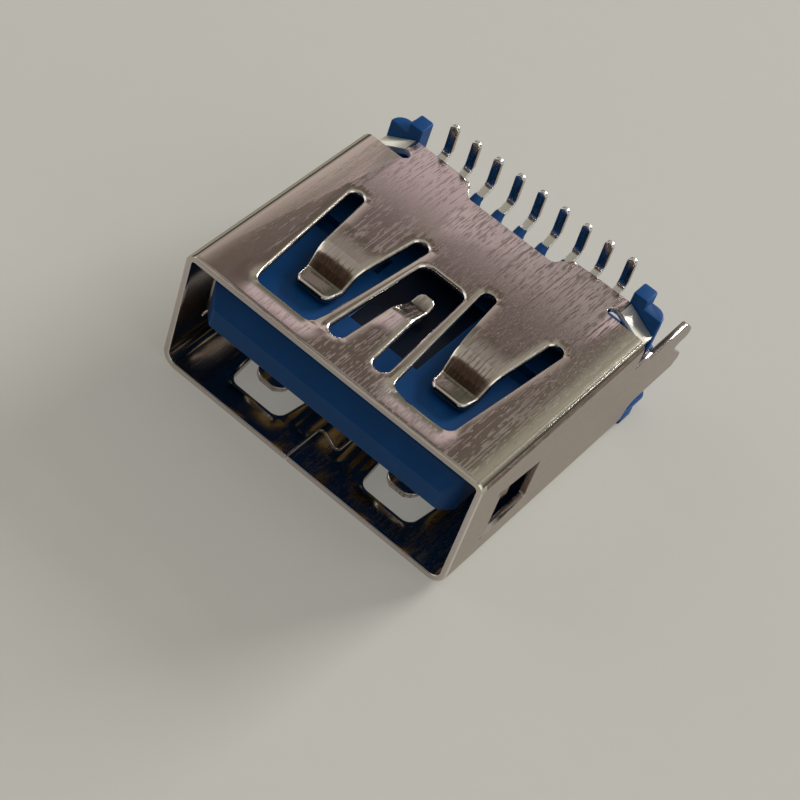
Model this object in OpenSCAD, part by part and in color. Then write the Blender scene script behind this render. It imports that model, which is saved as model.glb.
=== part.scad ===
// Upright board socket: a folded sheet shell round a moulded tongue that carries nine contacts.
// The mouth faces -Y, the board stands behind the socket, and the socket lies on the seam side of its shell.
// Heights are measured from that side, and places along Y from the mouth.

/* [Shell] */
// Outside width of the shell
shell_w = 13; // [12.8:0.05:13.6]
// Outside height of the shell
shell_h = 5.6; // [5.4:0.05:6.2]
// Length of the shell from the mouth to its rear edge
shell_l = 10.7; // [10.3:0.1:14]
// Thickness of the sheet
sheet = 0.25; // [0.2:0.01:0.3]
// Outside radius of the two upper folds
top_fold_r = 0.4; // [0.35:0.05:0.7]
// Outside radius of the two lower folds
bottom_fold_r = 0.65; // [0.35:0.05:0.9]
// Gap along the seam
seam_gap = 0.05; // [0.03:0.01:0.1]

/* [Plug springs] */
// Distance of each spring from the middle of its plate
spring_x = 3.03; // [2.9:0.01:3.2]
// Place where each spring leaves its plate
spring_root_y = 6.64; // [6.2:0.02:7.2]
// Width of a spring at its root
spring_root_w = 2.4; // [2:0.05:2.5]
// Width of an upper spring at its tip
spring_tip_w = 1.5; // [1:0.05:1.6]
// Width of a lower spring at its rounded tip
low_spring_tip_w = 1.3; // [1:0.05:1.5]
// Width of the slot beside a spring
spring_slot = 0.62; // [0.4:0.02:0.66]
// Place where an upper spring bends out of its plate
spring_bend_y = 4.02; // [3.9:0.02:4.4]
// Place where a lower spring bends out of its plate
low_spring_bend_y = 3.05; // [2.95:0.05:3.6]
// Inside radius of that bend
spring_bend_r = 0.6; // [0.3:0.05:0.8]
// Depth of a spring's contact ridge below its plate
spring_drop = 0.65; // [0.5:0.01:0.7]
// Slope of a spring on its way to the ridge, in degrees
spring_fall = 46; // [40:1:50]
// Length of the lip in front of the ridge
spring_lip_l = 0.85; // [0.6:0.05:1]
// Slope of the lip, in degrees
spring_lip_rise = 8; // [4:1:12]
// Place of the front edge of an upper spring's window
window_y = 0.93; // [0.7:0.01:1.2]
// Width of that window at its front edge
window_w = 2.54; // [2.2:0.02:2.7]
// Place of the front edge of a lower spring's window
low_window_y = 1.08; // [0.8:0.01:1.2]
// Width of that window at its front edge
low_window_w = 2.26; // [2:0.02:2.6]
// Corner radius of the windows
window_r = 0.4; // [0.2:0.05:0.6]

/* [Centre tab] */
// Place where the tab leaves the top plate
tab_root_y = 1.5; // [1.3:0.02:1.8]
// Width of the tab at its root
tab_root_w = 1.3; // [1:0.05:1.4]
// Width of the tab at its rounded tip
tab_tip_w = 0.72; // [0.6:0.02:0.9]
// Width of the slot beside the tab
tab_slot = 0.66; // [0.4:0.02:0.7]
// Place where the tab bends down
tab_bend_y = 3.75; // [3.4:0.05:4]
// Depth of the tab's ridge below the top plate
tab_drop = 0.45; // [0.4:0.01:0.5]
// Slope of the tab on its way to the ridge, in degrees
tab_fall = 23; // [20:1:28]
// Length of the lip behind the ridge
tab_lip_l = 0.65; // [0.5:0.05:0.8]
// Slope of the lip, in degrees
tab_lip_rise = 12; // [6:1:16]
// Place of the rear edge of the tab's window
tab_window_y = 6.25; // [6:0.05:6.6]
// Width of the window at its rear edge
tab_window_w = 1.9; // [1.6:0.05:2]

/* [Side springs] */
// Place where a side spring leaves its wall
side_root_y = 1.65; // [1.5:0.05:1.8]
// Height of the middle of a side spring
side_z = 2.67; // [2.5:0.01:2.8]
// Width of a side spring at its root
side_root_w = 2.2; // [1.8:0.05:2.4]
// Width of a side spring at its tip
side_tip_w = 1.7; // [1.4:0.05:1.8]
// Width of the slot beside a side spring
side_slot = 0.24; // [0.16:0.02:0.3]
// Place of the rear edge of the side window
side_window_y = 4.1; // [4:0.05:4.4]
// Height of the side window at its rear edge
side_window_h = 2; // [1.9:0.05:2.2]
// Reach of a side spring into the mouth
side_reach = 0.5; // [0.3:0.02:0.6]
// Slope of a side spring, in degrees
side_fall = 28; // [26:1:36]
// Length of a side spring's lip
side_lip_l = 0.8; // [0.5:0.05:0.9]

/* [Rear edge] */
// Width of the notch in the top plate
notch_w = 3.9; // [3:0.1:5]
// Depth of the notch
notch_depth = 0.75; // [0.5:0.05:0.9]
// Width that each side of the notch leans out by
notch_lean = 0.42; // [0.2:0.02:0.6]
// Distance from the slits that free the crimp strips to the rear edge
slit_back = 1.13; // [1:0.01:1.2]
// Width of a slit
slit_w = 0.48; // [0.4:0.02:0.52]
// Distance of a slit's round inner end from the middle
slit_x = 4.6; // [4.4:0.05:5]
// Angle that the crimp strips are bent down by, in degrees
crimp_bend = 30; // [20:1:36]
// Length of a crimp strip beyond its bend
crimp_l = 1.45; // [1:0.05:1.5]

/* [Board legs] */
// Length of each leg behind the shell's rear edge
leg_l = 3.2; // [2.5:0.1:4]
// Height of a leg's lower edge
leg_z = 1.3; // [1.25:0.05:1.5]
// Height of a leg from edge to edge
leg_h = 2.7; // [2.5:0.05:3]
// Radius where a leg's lower edge leaves the shell
leg_root_r = 0.55; // [0.2:0.05:0.55]
// Depth of the fork in a leg's end
fork_depth = 1.1; // [0.6:0.1:1.4]
// Height of the lower prong
low_prong_h = 1.6; // [1.3:0.05:1.7]

/* [Housing] */
// Clearance between the housing and what it fits
fit = 0.02; // [0.01:0.005:0.04]
// Width of the tongue
tongue_w = 11.1; // [10.9:0.05:11.2]
// Thickness of the tongue
tongue_t = 1.77; // [1.7:0.01:1.9]
// Space between the tongue and the top plate
tongue_gap = 0.73; // [0.7:0.01:0.85]
// Place of the tongue's front face
tongue_y = 0.2; // [0.1:0.05:0.4]
// Plan chamfer of the tongue's front corners
tongue_corner = 0.48; // [0.3:0.02:0.6]
// Height of the slope at the top of the tongue's front face
nose_h = 0.82; // [0.6:0.02:0.9]
// Length of that slope from front to back
nose_l = 0.4; // [0.3:0.02:0.5]
// Place of the wall behind the plug
wall_y = 8.9; // [8.8:0.05:9]
// Distance from the back of that wall to the shell's rear edge
wall_back = 0.75; // [0.7:0.05:0.8]
// Distance from the shell's rear edge to the board
seat_gap = 0.8; // [0.7:0.05:1]
// Width of the ribs that hold the tails
rib_w = 0.42; // [0.4:0.01:0.5]
// Height of a rib's end above the middle of its tail
rib_cover = 0.2; // [0.18:0.01:0.3]
// Height of a rib below the middle of its tail
rib_depth = 0.85; // [0.6:0.05:0.9]
// Distance that the ribs end in front of the board
rib_short = 0.45; // [0.3:0.05:0.5]
// Gap between the last rib and an ear
ear_gap = 0.58; // [0.5:0.01:0.65]
// Width of an ear's tall block
ear_w = 0.6; // [0.4:0.02:0.7]
// Height of the tall block above the shell
ear_rise = 0.45; // [0.2:0.05:0.6]
// Height of the round lobe beside the tall block above the shell
lobe_rise = 0.02; // [0:0.02:0.15]
// Radius of the locating pegs
peg_r = 0.45; // [0.4:0.01:0.48]
// Length of the pegs behind the face of the board
peg_l = 0.9; // [0.4:0.05:1]

/* [Contacts] */
// Thickness of the contact strip
contact_t = 0.2; // [0.15:0.01:0.22]
// Spacing of the tails
tail_pitch = 1.02; // [0.98:0.01:1.05]
// Width of a tail
tail_w = 0.35; // [0.3:0.01:0.38]
// Depth of the tails below the top of the shell where they leave their ribs
tail_depth = 0.75; // [0.7:0.01:0.8]
// Slope of the tails' runs through their ribs, in degrees
tail_slope = 20; // [10:1:25]
// Height of the tail tips above the top of the shell
tail_rise = 0.9; // [0.7:0.02:1.2]
// Distance that the tails stand behind the ears, so that they press on their pads
tail_proud = 0.28; // [0.1:0.02:0.3]
// Distance that a tail leans forward over its height
tail_lean = 0.1; // [0:0.02:0.15]
// Inside radius of the bend at the foot of a tail
tail_bend_r = 0.3; // [0.15:0.05:0.35]
// Spacing of the flat contacts
flat_pitch = 2; // [1.98:0.01:2.02]
// Width of a flat contact
flat_w = 0.55; // [0.45:0.01:0.58]
// Distance of a flat contact's pad from the tongue's front face
pad_inset = 0.4; // [0.3:0.05:0.5]
// Length of a flat contact's pad
pad_l = 1.9; // [1.5:0.05:2]
// Height of the flat contacts' buried run above the tongue's underside
carry_rise = 0.95; // [0.9:0.01:1]
// Distance of the inner sprung contacts from the middle
inner_contact_x = 1; // [0.98:0.01:1.02]
// Distance of the outer sprung contacts from the middle
outer_contact_x = 3.5; // [3.48:0.01:3.52]
// Width of a sprung contact
beam_w = 0.9; // [0.8:0.02:0.92]
// Place of a sprung contact's tip
beam_tip_y = 3.35; // [3.3:0.05:3.6]
// Place of a sprung contact's ridge
ridge_y = 4.9; // [4.6:0.05:5.4]
// Depth of the ridge below the tongue
ridge_drop = 0.5; // [0.4:0.02:0.6]

/* [Hidden] */
// Facets in each rounded corner
corner_steps = 6;
// Overlap of shapes that are one solid
lap = 0.3;
// Reach of cutting shapes past what they cut
past = 1;
// Share of a slot's width that rounds its end
slot_round = 0.45;
// Inside radius of the sharp bends in sheet and contacts
bend_r = 0.15;
// Small gap that keeps moulded parts off the sheet behind the shell
air = 0.05;
// Radius that breaks the edges of the moulding
edge_r = 0.1;
// Radius in plan of the rounded outer corner of an ear
lobe_r = 0.5;
// Radius of the rounded crest and end of a rib
rib_r = 0.19;
// Width of a contact inside its rib
rib_neck_w = 0.24;
// Radius of the lower corners behind the shell
foot_r = 0.2;
// Slope of the contacts where they change level, in degrees
contact_climb = 60;

inner_w = shell_w - 2 * sheet;
inner_h = shell_h - 2 * sheet;
top_plate_z = shell_h - sheet / 2;
bottom_plate_z = sheet / 2;
overall_l = shell_l + leg_l;

tongue_top = shell_h - sheet - tongue_gap;
tongue_low = tongue_top - tongue_t;
wall_end = shell_l - wall_back;
seat_y = shell_l + seat_gap;
flange_y = shell_l + air;
flange_end = seat_y - 0.2;
flange_low = air;

tail_count = 9;
flat_count = 5;
spring_count = 4;
middle_tail = (tail_count - 1) / 2;
middle_flat = (flat_count - 1) / 2;
tail_z = shell_h - tail_depth;
tail_top = shell_h + tail_rise;
tail_y = seat_y + tail_proud - contact_t / 2;
rib_top = tail_z + rib_cover;
rib_end = seat_y - rib_short;
rear_top = tail_z - rib_depth;
ear_x = inner_w / 2 - fit;
ear_inner_x = middle_tail * tail_pitch + rib_w / 2 + ear_gap;
pad_z = tongue_low + contact_t / 2;
carry_z = tongue_low + carry_rise;
beam_z = tongue_low + contact_t;
beam_level_l = 0.7;
climb_inset = 0.4;
tail_run_l = 1.75;
climb_y = max(wall_y + climb_inset, rib_end - tail_run_l);
neck_y = wall_y + 0.1;
neck_end = wall_y + 0.65;

function unit(v) = v / norm(v);
function left_of(v) = [-v[1], v[0]];
function flip(list) = [for (i = [len(list) - 1:-1:0]) list[i]];

// Arc that touches both edges of one corner
function corner(before, at, after, r) =
    let (
        back = unit(before - at),
        ahead = unit(after - at),
        half = acos(back * ahead) / 2
    )
    r <= 0 ? [at] :
    let (
        centre = at + unit(back + ahead) * r / sin(half),
        from = at + back * r / tan(half) - centre,
        to = at + ahead * r / tan(half) - centre,
        swing = 180 - 2 * half
    )
    [for (i = [0:corner_steps])
        let (share = i / corner_steps)
        centre + (from * sin(swing * (1 - share)) + to * sin(swing * share)) / sin(swing)];

// Closed outline with its own radius at each corner
function rounded(points, radii) =
    let (n = len(points))
    [for (i = [0:n - 1]) each corner(points[(i + n - 1) % n], points[i], points[(i + 1) % n], radii[i])];

// Rectangle between two corners, rounded below and above
function box_outline(low, high, low_r, high_r) = rounded(
    [low, [high[0], low[1]], high, [low[0], high[1]]],
    [low_r, low_r, high_r, high_r]
);

// Edge-on outline of a sheet of even thickness that is bent along a path, with an inside radius for each bend
function bent_sheet(path, thick, inside_r) =
    let (
        last = len(path) - 1,
        heads = [for (i = [0:last - 1]) unit(path[i + 1] - path[i])],
        normals = [for (i = [0:last])
            let (
                a = left_of(heads[max(i - 1, 0)]),
                b = left_of(heads[min(i, last - 1)])
            )
            (a + b) / (1 + a * b)],
        turns = [for (i = [0:last]) i == 0 || i == last ? 0 : cross(heads[i - 1], heads[i])],
        left_r = [for (i = [0:last]) turns[i] == 0 ? 0 : inside_r[i - 1] + (turns[i] > 0 ? 0 : thick)],
        right_r = [for (i = [0:last]) turns[i] == 0 ? 0 : inside_r[i - 1] + (turns[i] > 0 ? thick : 0)],
        left = path + normals * thick / 2,
        right = path - normals * thick / 2
    )
    rounded(concat(left, flip(right)), concat(left_r, flip(right_r)));

// Window round a spring, seen in plan: two round-ended slots at the root and round corners at the far end
function window_outline(root_y, arm_w, slot, end_y, end_w, end_r) =
    let (
        slot_y = root_y + sign(root_y - end_y) * slot / 2,
        arm = arm_w / 2,
        outer = arm + slot,
        far = end_w / 2,
        slot_r = slot * slot_round
    )
    rounded(
        [[-outer, slot_y], [-arm, slot_y], [-arm, root_y], [arm, root_y], [arm, slot_y], [outer, slot_y],
            [far, end_y], [-far, end_y]],
        [slot_r, slot_r, 0, 0, slot_r, slot_r, end_r, end_r]
    );

// Tapered spring, seen in plan, with its root let into the plate
function arm_outline(root_y, root_w, tip_y, tip_w, tip_r) =
    let (let_in_y = root_y + sign(root_y - tip_y) * lap)
    rounded(
        [[-root_w / 2, let_in_y], [root_w / 2, let_in_y], [root_w / 2, root_y], [tip_w / 2, tip_y],
            [-tip_w / 2, tip_y], [-root_w / 2, root_y]],
        [0, 0, 0, tip_r, tip_r, 0]
    );

// Side view of a spring: level in its plate, sloping to its ridge, then rising as a lip. The way is 1 or -1.
function spring_path(root_y, bend_y, way, plate_z, drop, fall, lip_l, lip_rise) =
    let (
        root = [root_y - way * lap, plate_z],
        bend = [bend_y, plate_z],
        ridge = bend + [way * abs(drop) / tan(fall), -drop],
        tip = ridge + lip_l * [way * cos(lip_rise), sign(drop) * sin(lip_rise)]
    )
    [root, bend, ridge, tip];

function tip_of(path) = path[len(path) - 1][0];

module placed() translate([0, -overall_l / 2, 0]) children();

module both_sides() {
    children();
    mirror([1, 0, 0]) children();
}

// Outline in Y and Z, standing across X
module across_x(from, to) translate([from, 0, 0]) rotate([90, 0, 90]) linear_extrude(to - from) children();

// Outline in X and Z, running along Y
module along_y(from, to) translate([0, to, 0]) rotate([90, 0, 0]) linear_extrude(to - from) children();

// Outline in X and Y, standing up along Z
module up_z(from, to) translate([0, 0, from]) linear_extrude(to - from) children();

// Outline in Z and Y through a side wall, about the middle height of the side springs
module through_wall() translate([shell_w, 0, side_z]) rotate([0, -90, 0]) linear_extrude(shell_w) children();

// Spring from its side view and its plan
module spring_arm(path, root_bend_r, root_y, root_w, tip_w, tip_r) intersection() {
    across_x(-root_w, root_w) polygon(bent_sheet(path, sheet, [root_bend_r, bend_r]));
    up_z(-past, shell_h + past) polygon(arm_outline(root_y, root_w, tip_of(path), tip_w, tip_r));
}

module tube() along_y(0, shell_l + past) difference() {
    polygon(box_outline([-shell_w / 2, 0], [shell_w / 2, shell_h], bottom_fold_r, top_fold_r));
    polygon(box_outline([-inner_w / 2, sheet], [inner_w / 2, shell_h - sheet],
        bottom_fold_r - sheet, top_fold_r - sheet));
}

// Everything behind the rear edge of the top plate, with its notch
module top_edge_trim() {
    base = notch_w / 2;
    mouth = base + notch_lean;
    wide = shell_w;
    notch_r = 0.25;
    up_z(shell_h / 2, shell_h + past) polygon(rounded(
        [[-wide, shell_l + 2 * past], [-wide, shell_l], [-mouth, shell_l], [-base, shell_l - notch_depth],
            [base, shell_l - notch_depth], [mouth, shell_l], [wide, shell_l], [wide, shell_l + 2 * past]],
        [0, 0, notch_r, notch_r, notch_r, notch_r, 0, 0]
    ));
}

module low_edge_trim() translate([-shell_w, shell_l, -past])
    cube([2 * shell_w, 2 * past, shell_h / 2 + past]);

// Slit across an upper rear corner, and the room that the bent strip behind it leaves
module corner_slit() {
    front = shell_l - slit_back;
    back = front + slit_w;
    slit_r = slit_w * slot_round;
    cut_z = leg_z + leg_h + lap;
    up_z(cut_z, shell_h + past) {
        polygon(rounded([[slit_x, front], [shell_w, front], [shell_w, back], [slit_x, back]],
            [slit_r, 0, 0, slit_r]));
        translate([slit_x + lap / 3, back - lap / 2]) square([shell_w, slit_back]);
    }
}

module seam() {
    line_x = -0.6;
    lock_x = 0.45;
    neck = [1.95, 2.55];
    head = [1.5, 3];
    up_z(-past, sheet + lap) polygon(bent_sheet(
        [[line_x, -past], [line_x, neck[0]], [lock_x, head[0]], [lock_x, head[1]], [line_x, neck[1]],
            [line_x, shell_l + past]],
        seam_gap, [bend_r, bend_r, bend_r, bend_r]
    ));
}

module plug_window(front_y, front_w) translate([spring_x, 0]) polygon(window_outline(
    spring_root_y, spring_root_w, spring_slot, front_y, front_w, window_r
));

module side_window() through_wall() polygon(window_outline(
    side_root_y, side_root_w, side_slot, side_window_y, side_window_h, edge_r
));

module shell_openings() {
    both_sides() {
        up_z(shell_h / 2, shell_h + past) plug_window(window_y, window_w);
        up_z(-past, shell_h / 2) plug_window(low_window_y, low_window_w);
        side_window();
        corner_slit();
    }
    up_z(shell_h / 2, shell_h + past) polygon(window_outline(
        tab_root_y, tab_root_w, tab_slot, tab_window_y, tab_window_w, window_r
    ));
    top_edge_trim();
    low_edge_trim();
    seam();
}

module upper_spring() {
    path = spring_path(spring_root_y, spring_bend_y, -1, top_plate_z,
        spring_drop, spring_fall, spring_lip_l, spring_lip_rise);
    tip_r = 0.38;
    spring_arm(path, spring_bend_r, spring_root_y, spring_root_w, spring_tip_w, tip_r);
}

module lower_spring() {
    path = spring_path(spring_root_y, low_spring_bend_y, -1, bottom_plate_z,
        -spring_drop, spring_fall, spring_lip_l, spring_lip_rise);
    tip_r = 0.8 * low_spring_tip_w / 2;
    spring_arm(path, spring_bend_r, spring_root_y, spring_root_w, low_spring_tip_w, tip_r);
}

module centre_tab() {
    path = spring_path(tab_root_y, tab_bend_y, 1, top_plate_z, tab_drop, tab_fall, tab_lip_l, tab_lip_rise);
    tip_r = 0.9 * tab_tip_w / 2;
    spring_arm(path, spring_bend_r, tab_root_y, tab_root_w, tab_tip_w, tip_r);
}

// Spring bent into the mouth from the front of a side window
module side_spring() {
    wall_x = (shell_w - sheet) / 2;
    bend_y = side_root_y + edge_r;
    lip_out = 0.1;
    ridge = [wall_x - side_reach, bend_y + side_reach / tan(side_fall)];
    tip = ridge + [lip_out, side_lip_l];
    intersection() {
        up_z(0, shell_h) polygon(bent_sheet(
            [[wall_x, side_root_y - lap], [wall_x, bend_y], ridge, tip], sheet, [bend_r, bend_r]
        ));
        through_wall() polygon(arm_outline(side_root_y, side_root_w, tip[1], side_tip_w, edge_r));
    }
}

// Strip behind a slit, bent down over the rear of the housing
module crimp_strip() {
    bend_x = slit_x + lap;
    back = shell_l - slit_back + slit_w;
    along_y(back, shell_l) polygon(bent_sheet(
        [[slit_x - lap, top_plate_z], [bend_x, top_plate_z],
            [bend_x + crimp_l * cos(crimp_bend), top_plate_z - crimp_l * sin(crimp_bend)]],
        sheet, [bend_r]
    ));
}

// Forked blade that runs on from a side wall and passes through the board
module board_leg() {
    root_y = shell_l - slit_back;
    root_z = leg_z - leg_root_r - air;
    top = leg_z + leg_h;
    fork_z = leg_z + low_prong_h;
    toe = 0.3;
    nose_end = overall_l - 0.1;
    nose_slope = 0.6;
    across_x(shell_w / 2 - sheet, shell_w / 2) polygon(rounded(
        [[root_y, root_z], [shell_l, root_z], [shell_l, leg_z], [overall_l - toe, leg_z],
            [overall_l, leg_z + toe], [overall_l, leg_z + 2 * toe], [overall_l - fork_depth, fork_z],
            [nose_end, fork_z + edge_r], [nose_end, top - nose_slope], [nose_end - nose_slope, top],
            [root_y, top]],
        [0, 0, leg_root_r, edge_r, edge_r, edge_r, bend_r, bend_r, 2 * bend_r, 2 * bend_r, 0]
    ));
}

module shell() color("silver") placed() union() {
    difference() {
        tube();
        shell_openings();
    }
    both_sides() {
        translate([spring_x, 0, 0]) {
            upper_spring();
            lower_spring();
        }
        side_spring();
        crimp_strip();
        board_leg();
    }
    centre_tab();
}

module tongue() {
    nose_r = 0.18;
    front = tongue_w / 2 - tongue_corner;
    side = tongue_w / 2;
    corner_end = tongue_y + tongue_corner;
    intersection() {
        up_z(tongue_low, tongue_top) polygon([[-front, tongue_y], [front, tongue_y], [side, corner_end],
            [side, wall_y + lap], [-side, wall_y + lap], [-side, corner_end]]);
        across_x(-tongue_w, tongue_w) polygon(rounded(
            [[tongue_y, tongue_low], [wall_y + lap, tongue_low],
                [wall_y + lap, tongue_top], [tongue_y + nose_l, tongue_top],
                [tongue_y, tongue_top - nose_h]],
            [nose_r, 0, 0, edge_r, edge_r]
        ));
    }
}

// Shallow moulded recesses in the top of the tongue: one behind its front bar, and a pocket under each spring
module tongue_recesses() {
    bar_end = 3.05;
    middle = [3, 4, 0.12];
    pocket = [3, 0.8, 0.4];
    pocket_at = [2.15, 5.4];
    translate([-middle[0] / 2, bar_end, tongue_top - middle[2]]) cube([middle[0], middle[1], past]);
    both_sides() translate([pocket_at[0], pocket_at[1], tongue_top - pocket[2]])
        cube([pocket[0], pocket[1], past]);
}

// Room under each slit, in an upper rear corner of the wall, for the strip that is bent down there
module crimp_room() {
    front = shell_l - slit_back - air;
    low = shell_h - sheet - crimp_l * sin(crimp_bend);
    translate([slit_x, front, low]) cube([shell_w, wall_end + air - front, shell_h]);
}

module back_wall() along_y(wall_y, wall_end) polygon(box_outline(
    [-inner_w / 2 + fit, sheet + fit], [inner_w / 2 - fit, shell_h - sheet - fit],
    bottom_fold_r - sheet, top_fold_r - sheet
));

// Block behind the wall, inside the rear of the shell, and the flange that stands behind the shell
module rear_block() {
    along_y(wall_end - lap, flange_y + lap) polygon(box_outline(
        [-inner_w / 2 + fit, sheet + fit], [inner_w / 2 - fit, rear_top], bottom_fold_r - sheet, 0
    ));
    along_y(flange_y, flange_end) polygon(box_outline([-ear_x, flange_low], [ear_x, rear_top], foot_r, 0));
}

// Rib with drafted sides and a round crest that rises along its tail to a round end
module rib(x) {
    draft = 0.03;
    crest = rib_w / 2;
    foot = crest + draft;
    front = wall_end - lap;
    foot_z = rear_top - lap;
    rib_h = rib_top - foot_z;
    translate([x, 0, 0]) intersection() {
        translate([0, rib_end, rib_top]) rotate([tail_slope, 0, 0]) along_y(-2 * past, past) polygon(rounded(
            [[-foot, -rib_h], [foot, -rib_h], [crest, 0], [-crest, 0]],
            [0, 0, rib_r, rib_r]
        ));
        across_x(-rib_w, rib_w) polygon(rounded(
            [[front, foot_z], [rib_end, foot_z], [rib_end, rib_top], [front, rib_top]],
            [0, 0, rib_r, 0]
        ));
        up_z(foot_z, rib_top + past) polygon(rounded(
            [[-foot, front], [foot, front], [foot, rib_end], [-foot, rib_end]],
            [0, 0, rib_r, rib_r]
        ));
    }
}

// Ear at an upper corner: a tall block that meets the board, and a lower lobe beside it
module ear() {
    step_x = ear_inner_x + ear_w;
    foot_z = rear_top - lap;
    lobe_short = 0.15;
    lobe_end = seat_y - lobe_short;
    up_z(foot_z, shell_h + ear_rise) polygon(rounded(
        [[ear_inner_x, flange_y], [step_x, flange_y], [step_x, seat_y], [ear_inner_x, seat_y]],
        [0, 0, edge_r, edge_r]
    ));
    up_z(foot_z, shell_h + lobe_rise) polygon(rounded(
        [[step_x - lap, flange_y], [ear_x, flange_y], [ear_x, lobe_end], [step_x - lap, lobe_end]],
        [0, 0, lobe_r, 0]
    ));
}

// Foot at a lower corner, under a leg, with a round peg that finds its hole in the board
module low_foot() {
    outer_x = shell_w / 2;
    foot_top = leg_z - leg_root_r - 2 * air;
    taper = 0.15;
    along_y(flange_y, seat_y) polygon(rounded(
        [[ear_inner_x, flange_low], [outer_x, flange_low], [outer_x, foot_top], [ear_inner_x, foot_top]],
        [edge_r, foot_r, edge_r, edge_r]
    ));
    inset = peg_r + air;
    straight = peg_l - taper + lap;
    translate([outer_x - inset, seat_y - lap, flange_low + inset]) rotate([-90, 0, 0]) {
        cylinder(r = peg_r, h = straight, $fn = 48);
        translate([0, 0, straight]) cylinder(r1 = peg_r, r2 = peg_r - taper, h = taper, $fn = 48);
    }
}

// Groove in the tongue's underside that lets a sprung contact bend
module beam_groove(x) {
    side_room = 0.1;
    tip_room = 0.15;
    depth = 0.5;
    groove_w = beam_w + 2 * side_room;
    groove_y = beam_tip_y - tip_room;
    translate([x - groove_w / 2, groove_y, tongue_low - past])
        cube([groove_w, wall_y - groove_y, past + depth]);
}

module housing() color("royalblue") placed() difference() {
    union() {
        tongue();
        back_wall();
        rear_block();
        for (i = [0:tail_count - 1]) rib(tail_x(i));
        both_sides() {
            ear();
            low_foot();
        }
    }
    tongue_recesses();
    both_sides() crimp_room();
    for (n = [1:spring_count]) {
        beam_groove(spring_contact_x(n));
        spring_contact_solid(n, fit);
    }
    for (n = [1:flat_count]) flat_contact_solid(n, fit);
}

function tail_x(i) = (i - middle_tail) * tail_pitch;
function flat_contact_x(n) = (n - 1 - middle_flat) * flat_pitch;
function spring_contact_x(n) = [-outer_contact_x, -inner_contact_x, inner_contact_x, outer_contact_x][n - 1];

// Height of the tails' sloping runs
function run_z(y) = tail_z + (y - rib_end) * tan(tail_slope);

// Last stretch of every contact: steeply up inside the wall, sloping through the rib, then along the board.
// It runs past the tip, which is cut to its round outline.
function tail_path(level) =
    let (run_y = climb_y + (run_z(climb_y) - level) / (tan(contact_climb) - tan(tail_slope)))
    [[climb_y, level], [run_y, run_z(run_y)], [tail_y, run_z(tail_y)], [tail_y - tail_lean, tail_top + lap]];

// Strip of contact metal from its side view and its plan, narrowed in its rib, with shoulders behind the rib
// and a round-tipped tail. Grow widens it all round, for the way that the housing leaves for it.
module contact_strip(path, x, width, tip_y, tip_r, tail, grow) {
    half = width / 2 + grow;
    neck_half = rib_neck_w / 2 + grow;
    tail_half = tail_w / 2 + grow;
    shoulder_y = rib_end + fit - grow;
    tail_tip_r = 0.9 * tail_half;
    end_y = seat_y + past;
    bare_z = tail_z + contact_t;
    tip_z = tail_top + grow;
    last_bend = len(path) - 2;
    bends = [for (i = [1:last_bend]) (i == last_bend ? tail_bend_r : bend_r) - grow];
    intersection() {
        across_x(-shell_w, shell_w) polygon(bent_sheet(path, contact_t + 2 * grow, bends));
        up_z(-past, tail_top + past) polygon(rounded(
            [[x - half, tip_y - grow], [x + half, tip_y - grow],
                [x + half, neck_y], [tail + neck_half, neck_end],
                [tail + neck_half, shoulder_y], [tail + tail_half, shoulder_y],
                [tail + tail_half, end_y], [tail - tail_half, end_y],
                [tail - tail_half, shoulder_y], [tail - neck_half, shoulder_y],
                [tail - neck_half, neck_end], [x - half, neck_y]],
            [tip_r, tip_r, 0, 0, 0, 0, 0, 0, 0, 0, 0, 0]
        ));
        along_y(-past, end_y) polygon(rounded(
            [[-shell_w, -past], [shell_w, -past],
                [shell_w, bare_z], [tail + tail_half, bare_z],
                [tail + tail_half, tip_z], [tail - tail_half, tip_z],
                [tail - tail_half, bare_z], [-shell_w, bare_z]],
            [0, 0, 0, 0, tail_tip_r, tail_tip_r, 0, 0]
        ));
    }
}

module flat_contact_solid(n, grow) {
    pad_y = tongue_y + pad_inset;
    pad_end = pad_y + pad_l;
    carry_y = pad_end + (carry_z - pad_z) / tan(contact_climb);
    path = concat([[pad_y - grow, pad_z], [pad_end, pad_z], [carry_y, carry_z]], tail_path(carry_z));
    contact_strip(path, flat_contact_x(n), flat_w, pad_y, 0, tail_x(2 * n - 2), grow);
}

module spring_contact_solid(n, grow) {
    beam_tip_r = 0.25;
    path = concat(
        [[beam_tip_y - grow, beam_z], [ridge_y, tongue_low - ridge_drop], [wall_y - beam_level_l, beam_z]],
        tail_path(beam_z)
    );
    contact_strip(path, spring_contact_x(n), beam_w, beam_tip_y, beam_tip_r, tail_x(2 * n - 1), grow);
}

module flat_contact(n) color("gold") placed() flat_contact_solid(n, 0);

module spring_contact(n) color("gold") placed() spring_contact_solid(n, 0);

shell();
housing();
flat_contact(1);  // flat_contact_1
flat_contact(2);  // flat_contact_2
flat_contact(3);  // flat_contact_3
flat_contact(4);  // flat_contact_4
flat_contact(5);  // flat_contact_5
spring_contact(1);  // spring_contact_1
spring_contact(2);  // spring_contact_2
spring_contact(3);  // spring_contact_3
spring_contact(4);  // spring_contact_4
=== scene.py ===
"""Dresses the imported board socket: a plated sheet shell, a blue moulding and nine plated contacts.

Each solid of the frame is copied, its shared places are merged, its flat faces are joined, and its sharp
edges are rounded as stamping and moulding leave them. The copies stand for the solids, so every size stays
the frame's own.
"""

import math

import bmesh
import bpy
import numpy as np
from bpy.props import FloatProperty, FloatVectorProperty, PointerProperty
from mathutils import Matrix, Vector
from mathutils.bvhtree import BVHTree


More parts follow.
